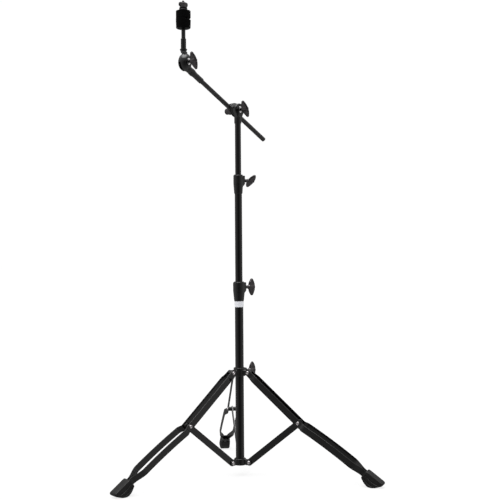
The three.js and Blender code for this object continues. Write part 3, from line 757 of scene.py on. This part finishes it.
def boom_clamp():
    socket = turned(rounded([(0, -36), (8.9, -36), (9.5, -33), (9.5, -19), (0, -17)], 0.8))
    cheek = slab([(-8, -20), (8, -20), *arc(0, 0, YOKE["radius"], -40, 220, 28)],
                 YOKE["far"], YOKE["near"], 1.0)
    tube_radius, _, tube_top = extent("top_tube")
    bore = bar(tube_radius + GAP, -40, tube_top - pivot("boom_tilt").z + GAP, segments=96)
    tools = [bore, pin(STUD_HOLE, -6, 12, 0, 0)]
    piece("boom_yoke", cast([socket, cheek], machined=tools, voxel=0.5), CLAMP_FRAME, CASTING)

    disc_near, disc_far = GAP - YOKE["far"], 9.4
    disc = bar(YOKE["radius"], disc_near, disc_far, 0.8, 96)
    hood = bar(HOOD["radius"], HOOD["near"], HOOD["far"], 1.6, 96)
    tools = [block(-20, 20, -30, -disc_far, -20, 10.4), pin(STUD_HOLE, -15, 0, 0, 0),
             moved(bar(SHOE_RADIUS + 2 * GAP, -30, 30), ALONG_ROD)]
    shape = cast([moved(disc, MINUS_Y_AXIS), moved(hood, MINUS_Y_AXIS)], machined=tools,
                 voxel=0.5)
    piece("rod_holder", shape, CLAMP_FRAME, CASTING)

    barrel = turned(rounded([(0, 9.8), (10, 9.8), (10, 31), (8.4, 32), (8.4, 43), (0, 43)], 1.0))
    eye = cast([moved(barrel, MINUS_Y_AXIS)], voxel=0.5,
               machined=[moved(bar(SHOE_RADIUS + GAP, -30, 30), ALONG_ROD)])
    shank = moved(thread(STUD_RADIUS, -10.2, 26), Y_AXIS)
    piece("clamp_eye_bolt", joined(eye, shank), CLAMP_FRAME, NICKEL)
    shoe = moved(ring(SHOE_RADIUS, ROD_RADIUS + GAP, -9, 9), ALONG_ROD)
    piece("rod_shoe", shoe, CLAMP_FRAME, NYLON)
    wing_nut("clamp_wing_nut", 13, YOKE["near"] + GAP, CLAMP_FRAME, 26)


def wing_nut(name, reach, foot, matrix, degrees):
    """A wing nut along +Y, turned by some degrees, and the bright tab washer under it. Its
    washer starts at foot, and its wings are measured from reach."""
    turn = matrix @ spin("Y", degrees) @ spin("Z", 90)
    shape = wing(reach, foot + 1.7, bore=STUD_HOLE)
    piece(name, shape, turn, NICKEL)
    tab = rounded([(-3.5, -8.2), (3.5, -8.2), (3.5, 8.2), (-3.5, 8.2)], 2, closed=True)
    hole = pin(STUD_HOLE, foot - 1, foot + 3, 0, 0)
    washer = cast([slab(tab, foot, foot + 1.5, 0.3)], machined=[hole], voxel=0.25, smooth=1)
    piece(f"{name}_washer", washer, matrix, WASHER_STEEL, BODY_OF[name])


def boom_rod():
    """Round bar with a diamond knurl between two plain ends."""
    tail, head = -134.0, 166.0
    steps = 520
    ridges_round = 24
    helix_angle = math.radians(30)
    profile = [(0, tail), (ROD_RADIUS - 1, tail)]
    profile += [(ROD_RADIUS, tail + 1 + (head - tail - 1) * i / steps) for i in range(steps + 1)]
    profile.append((0, head))

    def knurl(r, angle, z):
        depth = 0.17 * ease(z, tail + 3, tail + 5) * (1 - ease(z, head - 30, head - 28))
        twist = z * math.tan(helix_angle) / ROD_RADIUS
        left = abs(((angle + twist) * ridges_round / (2 * math.pi)) % 1 - 0.5)
        right = abs(((angle - twist) * ridges_round / (2 * math.pi)) % 1 - 0.5)
        return r - depth * max(0, 1 - 5 * min(left, right))

    shape = moved(turned(profile, 120, knurl), ALONG_ROD)
    piece("boom_rod", shape, CLAMP_FRAME, KNURLED)


# ---- tilter ----
def back_along_rod(distance, aside):
    """The (x, z) point at a distance from the tilter's pivot down the rod, and to one side."""
    a = math.pi + BOOM_TILT
    return (math.cos(a) * distance - math.sin(a) * aside,
            math.sin(a) * distance + math.cos(a) * aside)


def housing(far, near):
    """The tilter's rounded housing: an upright ellipsoid cut flat at two distances across."""
    count = 48
    profile = [(math.sin(math.pi * i / count), -math.cos(math.pi * i / count))
               for i in range(count + 1)]
    size = Matrix.Diagonal((HOUSING["plan"], HOUSING["plan"], HOUSING["tall"], 1))
    shape = moved(turned(profile), at(0, HOUSING["shift"], 0) @ size)
    for point, normal in ((far, -1), (near, 1)):
        found = bmesh.ops.bisect_plane(
            shape, geom=[*shape.verts, *shape.edges, *shape.faces], plane_co=(0, point, 0),
            plane_no=(0, normal, 0), clear_outer=True)
        rim = [e for e in found["geom_cut"] if isinstance(e, bmesh.types.BMEdge)]
        bmesh.ops.edgeloop_fill(shape, edges=rim)
    return shape


def tilter():
    half = FORK["slot_half"]
    near, far = FORK["slot"] + half, FORK["slot"] - half
    hung = CLAMP_FRAME.inverted() @ pivot("cymbal_tilt")
    rise = hung.z - hung.x * math.tan(BOOM_TILT)
    down_rod = at(0, 0, -rise) @ Matrix.Rotation(-math.pi / 2 - BOOM_TILT, 4, "Y")
    root = turned(rounded([(0, 13.6), (9, 13.6), (9, 20), (8.2, 31), (8.2, 41), (0, 41)], 0.8))
    ferrule = turned(rounded([(0, 39), (7.6, 39), (7.6, 69), (6.9, 70), (0, 70)], 0.5))
    web = FORK["bridge"]
    slot = slab([back_along_rod(web, -30), back_along_rod(web, 30), back_along_rod(-40, 30),
                 back_along_rod(-40, -30)], far, near)
    tools = [slot, moved(bar(ROD_RADIUS + GAP, 30.7, 90), down_rod),
             pin(STUD_HOLE, -15, 25, 0, 0), pin(13.6, far, near, 0, 0)]
    solids = [housing(FORK["far"], FORK["near"]), moved(root, down_rod), moved(ferrule, down_rod)]
    piece("tilter_fork", cast(solids, machined=tools, voxel=0.5), TILTER_FRAME, CASTING)
    band = moved(ring(9.2, 8.1, 27, 36, 0.4), down_rod)
    piece("tilter_ring", band, TILTER_FRAME, NYLON, BODY_OF["tilter_fork"])

    flare_top = SEAT["flare"] - GAP - pivot("cymbal_tilt").z
    plan, tall = HOUSING["plan"] * HEAD_SCALE, HOUSING["tall"] * HEAD_SCALE
    angles = [math.radians(-2 + 5 * i) for i in range(25)]
    front = [(0, 0)] + [(plan * math.cos(a), tall * math.sin(a)) for a in angles]
    neck = [(-6.6, 0), (6.6, 0), (6.6, 27), (-6.6, 27)]
    solids = [slab(outline, far + 0.4, near - 0.4, 0.8) for outline in (
        front, arc(0, 0, 13, 0, 350, 40), neck)]
    solids.append(turned([(0, 22), (4, 24), (6.6, 24.2), (6.9, 27), (9.6, flare_top - 0.5),
                          (9.4, flare_top), (0, flare_top)]))
    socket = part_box("cymbal_post")[0].z / MM - pivot("cymbal_tilt").z - GAP
    tools = [pin(STUD_HOLE, -15, 15, 0, 0), bar(POST_RADIUS + GAP, socket, 60)]
    piece("tilter_head", cast(solids, machined=tools, voxel=0.5), TILTER_FRAME, HEAD_ENAMEL)

    face = FORK["far"] - GAP
    head = turned(rounded([(0, face - 3.3), (4, face - 3.3), (6, face - 1.7), (6, face),
                           (0, face)], 0.5))
    shank = joined(head, bar(STUD_RADIUS, face - 0.5, 20), thread(STUD_RADIUS, 19.5, 38))
    piece("tilter_bolt", moved(shank, Y_AXIS), TILTER_FRAME, NICKEL)
    wing_nut("tilter_wing_nut", 24.2, FORK["near"] + GAP, TILTER_FRAME, 21)


# ---- cymbal seat, in the stand's own heights about the post's axis ----
def ruffled(r, angle, z):
    """Felt's slightly uneven outside."""
    spot = Vector((r * math.cos(angle), r * math.sin(angle), z))
    return r + 0.22 * noise.noise(spot * 0.35) + 0.1 * noise.noise(spot * 1.6)


def felt_ring(node, low, high):
    """A felt washer as tall as its node, of one radius at its bottom and another at its top,
    its outline finely divided so that its outside can be ruffled."""
    _, bottom, top = extent(node)
    corners = [(FELT_BORE, bottom), (low, bottom), (high, top), (FELT_BORE, top)]
    soft = rounded(corners, 0.9, 5, closed=True)
    soft.append(soft[0])
    fine = []
    for start, end in zip(soft, soft[1:]):
        steps = max(1, round((Vector(end) - Vector(start)).length / 0.9))
        fine += [tuple(Vector(start).lerp(Vector(end), i / steps)) for i in range(steps)]
    fine.append(soft[0])
    return turned(fine, 144, ruffled)


def cymbal_seat():
    low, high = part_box("cymbal_post")
    foot, tip = low.z / MM, high.z / MM
    flare, neck, shoulder = SEAT["flare"], SEAT["neck"], SEAT["shoulder"]
    profile = [(0, foot), (POST_RADIUS, foot), (POST_RADIUS, flare), (6.8, flare),
               (6.8, neck - 1), (6, neck), (2.8, neck), (2.8, 1196), (0, 1196)]
    post = joined(turned(rounded(profile, 0.4)), thread(STUD_RADIUS, 1195, tip))
    piece("cymbal_post", post, SEAT_FRAME, ENAMEL)
    bottom, top = neck + GAP, SEAT["sleeve_top"]
    sleeve = hollow([(STUD_HOLE, bottom), (5.1, bottom), (5.1, shoulder), (4.5, shoulder),
                     (4.5, top), (STUD_HOLE, top)])
    piece("felt_sleeve", sleeve, SEAT_FRAME, NYLON)
    bottom = shoulder + GAP
    cup = hollow([(FELT_BORE, bottom), (15.5, bottom), (17.9, bottom + 1.4),
                  (17.5, bottom + 1.6), (15.2, bottom + 0.8), (FELT_BORE, bottom + 0.8)])
    piece("seat_cup", cup, SEAT_FRAME, DULL_NICKEL)

    shape = felt_ring("lower_felt", 18.2, 18.9)
    fluff(shape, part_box("lower_felt")[1].z / MM - 6)
    piece("lower_felt", shape, SEAT_FRAME, FELT)
    shape = felt_ring("upper_felt", 18.6, 18.6)
    piece("upper_felt", shape, SEAT_FRAME, FELT)

    bottom, top = SEAT["washer"], SEAT["washer_top"]
    washer = hollow([(STUD_HOLE, bottom), (11.4, bottom), (11.4, bottom + 2.4),
                     (10.2, bottom + 4), (10.2, top), (STUD_HOLE, top)], 0.5)
    piece("top_washer", washer, SEAT_FRAME, DULL_NICKEL)
    top_wing_nut()


def fluff(shape, start):
    """Fluffs a felt's top up against the felt above, except on the side left open for the
    cymbal's edge."""
    open_side = Vector((0.992, -0.128, 0))
    rise = 4.2
    for vertex in shape.verts:
        share = 1 - ease(vertex.co.dot(open_side), 5.5, 6.5)
        vertex.co.z += rise * share * ease(vertex.co.z, start, start + 6)


def top_wing_nut():
    bottom, top = SEAT["washer_top"] + GAP, SEAT["nut_top"]
    ears = [(-7, bottom), (-12.4, bottom + 4), (-12.9, bottom + 9), (-11.5, top - 1.2),
            (-7, top - 0.3), (7, top - 0.3), (11.5, top - 1.2), (12.9, bottom + 9),
            (12.4, bottom + 4), (7, bottom)]
    hub = turned(rounded([(0, bottom), (8.5, bottom), (7, top - 2), (6, top - 1),
                          (0, top - 1)], 0.8))
    solids = [hub, slab(rounded(ears, 2.4, closed=True), -3, 3, 1.3)]
    shape = cast(solids, machined=[bar(STUD_HOLE, bottom - 2, top + 2)], voxel=0.42, smooth=4)
    piece("top_wing_nut", shape, SEAT_FRAME @ BOOM_TURN @ spin("Z", -10), NICKEL)


# ---- studio ----
CAMERA = {"distance": 2.5713, "height": 0.5934, "yaw": -7.37, "roll": 0.386, "lens": 70.4,
          "shift_x": 0.0216, "shift_y": -0.0006}
LIGHT = {"walls": 0.66, "wall_falloff": 0.55, "ceiling": 0.5, "backdrop": 1.02, "floor": 0.82,
         "sun": 4.6, "sun_spread": 60, "sun_tilt": (12, -10)}


def camera():
    """The main view: level, from the front and a little to the left. Returns the direction
    from the stand towards the camera."""
    yaw = math.radians(CAMERA["yaw"])
    back = Vector((math.sin(yaw), -math.cos(yaw), 0))
    data = bpy.data.cameras.new("camera")
    data.lens = CAMERA["lens"]
    data.shift_x = CAMERA["shift_x"]
    data.shift_y = CAMERA["shift_y"]
    obj = bpy.data.objects.new("camera", data)
    bpy.context.scene.collection.objects.link(obj)
    look = (-back).to_track_quat("-Z", "Y").to_matrix().to_4x4()
    place = Matrix.Translation(back * CAMERA["distance"] + UP * CAMERA["height"])
    obj.matrix_world = place @ look @ spin("Z", -CAMERA["roll"])
    bpy.context.scene.camera = obj
    return back


def floor():
    """A plain pale floor, 60 m wide, that isn't seen in the gloss of the stand."""
    size = 30
    mesh = bpy.data.meshes.new("floor")
    corners = [(-size, -size, 0), (size, -size, 0), (size, size, 0), (-size, size, 0)]
    mesh.from_pydata(corners, [], [(0, 1, 2, 3)])
    material = bpy.data.materials.new("floor")
    material.use_nodes = True
    shader = material.node_tree.nodes["Principled BSDF"]
    shader.inputs["Base Color"].default_value = (0.1, 0.1, 0.1, 1)
    shader.inputs["Roughness"].default_value = 0.9
    shader.inputs["Specular IOR Level"].default_value = 0.1
    shader.inputs["Emission Color"].default_value = (1, 1, 1, 1)
    shader.inputs["Emission Strength"].default_value = LIGHT["floor"]
    mesh.materials.append(material)
    obj = bpy.data.objects.new("floor", mesh)
    obj.visible_glossy = False
    bpy.context.scene.collection.objects.link(obj)


def sky(back):
    """A studio that looks white, and whose soft light comes from the sides and from above and
    is dim in front of the stand and behind it."""
    world = bpy.data.worlds.new("studio")
    world.use_nodes = True
    bpy.context.scene.world = world
    nodes, links = world.node_tree.nodes, world.node_tree.links

    def math_node(kind, first, second=None):
        node = nodes.new("ShaderNodeMath")
        node.operation = kind
        for socket, value in zip(node.inputs, (first, second)):
            if isinstance(value, (int, float)):
                socket.default_value = value
            elif value is not None:
                links.new(value, socket)
        return node.outputs["Value"]

    direction = nodes.new("ShaderNodeTexCoord").outputs["Generated"]
    facing = nodes.new("ShaderNodeVectorMath")
    facing.operation = "DOT_PRODUCT"
    facing.inputs[1].default_value = back
    links.new(direction, facing.inputs[0])
    split = nodes.new("ShaderNodeSeparateXYZ")
    links.new(direction, split.inputs[0])
    aside = math_node("SUBTRACT", 1, math_node("ABSOLUTE", facing.outputs["Value"]))
    walls = math_node("MULTIPLY", math_node("POWER", aside, LIGHT["wall_falloff"]),
                      LIGHT["walls"])
    height = math_node("MAXIMUM", split.outputs["Z"], 0.0)
    total = math_node("ADD", walls, math_node("MULTIPLY", height, LIGHT["ceiling"]))
    light = nodes.new("ShaderNodeBackground")
    light.inputs["Color"].default_value = (1, 1, 1, 1)
    links.new(total, light.inputs["Strength"])
    backdrop = nodes.new("ShaderNodeBackground")
    backdrop.inputs["Color"].default_value = (1, 1, 1, 1)
    backdrop.inputs["Strength"].default_value = LIGHT["backdrop"]
    mix = nodes.new("ShaderNodeMixShader")
    links.new(nodes.new("ShaderNodeLightPath").outputs["Is Camera Ray"], mix.inputs[0])
    links.new(light.outputs[0], mix.inputs[1])
    links.new(backdrop.outputs[0], mix.inputs[2])
    output = nodes.get("World Output") or nodes.new("ShaderNodeOutputWorld")
    links.new(mix.outputs[0], output.inputs["Surface"])


def sun():
    """A broad soft light from overhead."""
    data = bpy.data.lights.new("overhead", "SUN")
    data.energy = LIGHT["sun"]
    data.angle = math.radians(LIGHT["sun_spread"])
    obj = bpy.data.objects.new("overhead", data)
    obj.rotation_euler = (*map(math.radians, LIGHT["sun_tilt"]), 0)
    bpy.context.scene.collection.objects.link(obj)


toward_camera = camera()
floor()
sky(toward_camera)
sun()
bpy.context.scene.view_settings.view_transform = "Standard"

column()
collar("base_collar", foot=12.9, rim=15.5, boss=20.3, bore=11.1,
       bolt_z=pivot("base_wing_turn").z)
collar("mid_collar", foot=10.9, rim=12.8, boss=18.4, bore=9.53, bolt_z=pivot("mid_wing_turn").z)
wing_bolts()
tripod()
boom_clamp()
boom_rod()
tilter()
cymbal_seat()
